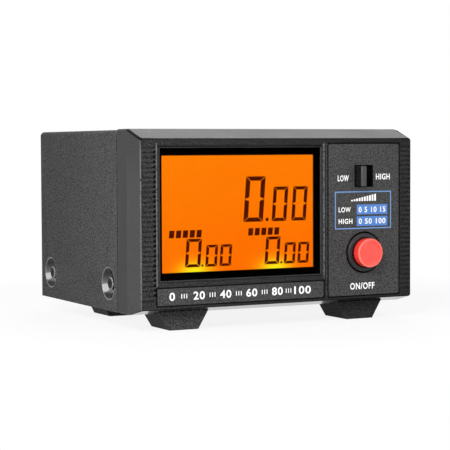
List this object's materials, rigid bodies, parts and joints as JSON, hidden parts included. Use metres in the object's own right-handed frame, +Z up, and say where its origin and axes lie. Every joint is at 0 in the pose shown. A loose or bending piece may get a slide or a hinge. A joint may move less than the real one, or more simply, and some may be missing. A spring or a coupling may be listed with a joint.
{
  "type": "swr power meter",
  "caption": "Bench power and standing-wave meter: back-lit display, range slide switch and power button in a moulded bezel, folded cover, tapered feet, coaxial sockets.",
  "frame": {"origin": "middle of the bounding box in plan, on the surface that the feet stand on", "axes": "+X to the right seen from the front, +Y from the front to the rear, +Z up"},
  "size_m": [0.12, 0.1226, 0.0761],
  "materials": {
    "bezel_plastic": "moulded, spark-eroded grain",
    "cover_paint": "wrinkle paint",
    "plate_grey": "fine grain",
    "clear_window": "polished",
    "mask_black": "gloss",
    "lcd_orange": "back-lit",
    "guide_white": "satin",
    "led_amber": "clear",
    "ribbon_film": "film",
    "knob_black": "satin",
    "button_red": "satin",
    "switch_brown": "moulded",
    "foot_rubber": "matt",
    "chassis_steel": "zinc plated",
    "socket_nickel": "nickel plated",
    "contact_brass": "bright",
    "insulator_white": "satin",
    "board_green": "solder mask",
    "chip_black": "moulded",
    "capacitor_blue": "sleeve",
    "screw_steel": "nickel plated",
    "screw_black": "black oxide",
    "cable_red": "sleeve"
  },
  "bodies": {
    "case": {"front_bezel": "bezel_plastic", "top_cover": "cover_paint", "chassis": "chassis_steel", "display_window": "clear_window", "display_mask": "mask_black", "lcd_glass": "lcd_orange", "light_guide": "guide_white", "display_tray": "guide_white", "led_strip": "board_green", "backlight_leds": "led_amber", "display_ribbon": "ribbon_film", "name_strip": "plate_grey", "control_plate": "plate_grey", "range_switch_frame": "chassis_steel", "range_switch_body": "switch_brown", "power_spring": "chassis_steel", "power_switch_body": "knob_black", "button_collar": "knob_black", "switch_pins": "contact_brass", "main_board": "board_green", "board_chips": "chip_black", "board_capacitors": "capacitor_blue", "cable_headers": "guide_white", "board_screws": "screw_steel", "foot_screws": "screw_black", "cover_screws": "screw_black", "socket_screws": "screw_steel", "inlet_body": "knob_black", "inlet_pin": "socket_nickel", "inlet_nut": "socket_nickel", "inner_cables": "cable_red", "front_left_foot": "foot_rubber", "front_right_foot": "foot_rubber", "rear_left_foot": "foot_rubber", "rear_right_foot": "foot_rubber", "hf_tx_socket": "socket_nickel", "hf_tx_insulator": "insulator_white", "hf_tx_contact": "contact_brass", "hf_ant_socket": "socket_nickel", "hf_ant_insulator": "insulator_white", "hf_ant_contact": "contact_brass", "vhf_tx_socket": "socket_nickel", "vhf_tx_insulator": "insulator_white", "vhf_tx_contact": "contact_brass", "vhf_ant_socket": "socket_nickel", "vhf_ant_insulator": "insulator_white", "vhf_ant_contact": "contact_brass", "hf_sensor_box": "chassis_steel", "hf_sensor_lid": "chassis_steel", "hf_sensor_line": "contact_brass", "hf_sensor_board": "board_green", "vhf_sensor_box": "chassis_steel", "vhf_sensor_lid": "chassis_steel", "vhf_sensor_line": "contact_brass", "vhf_sensor_board": "board_green"},
    "range_slider": {"range_knob": "knob_black"},
    "power_push": {"power_button": "button_red", "power_plunger": "guide_white"}
  },
  "joints": [
    {"name": "range_slide", "type": "slide", "parent": "case", "child": "range_slider", "axis": [1, 0, 0], "range_m": [0, 0.00585]},
    {"name": "power_press", "type": "slide", "parent": "case", "child": "power_push", "axis": [0, 1, 0], "range_m": [0, 0.003], "stiffness_N_per_m": 400, "springref_m": -0.003, "deforming": ["power_spring"]}
  ]
}
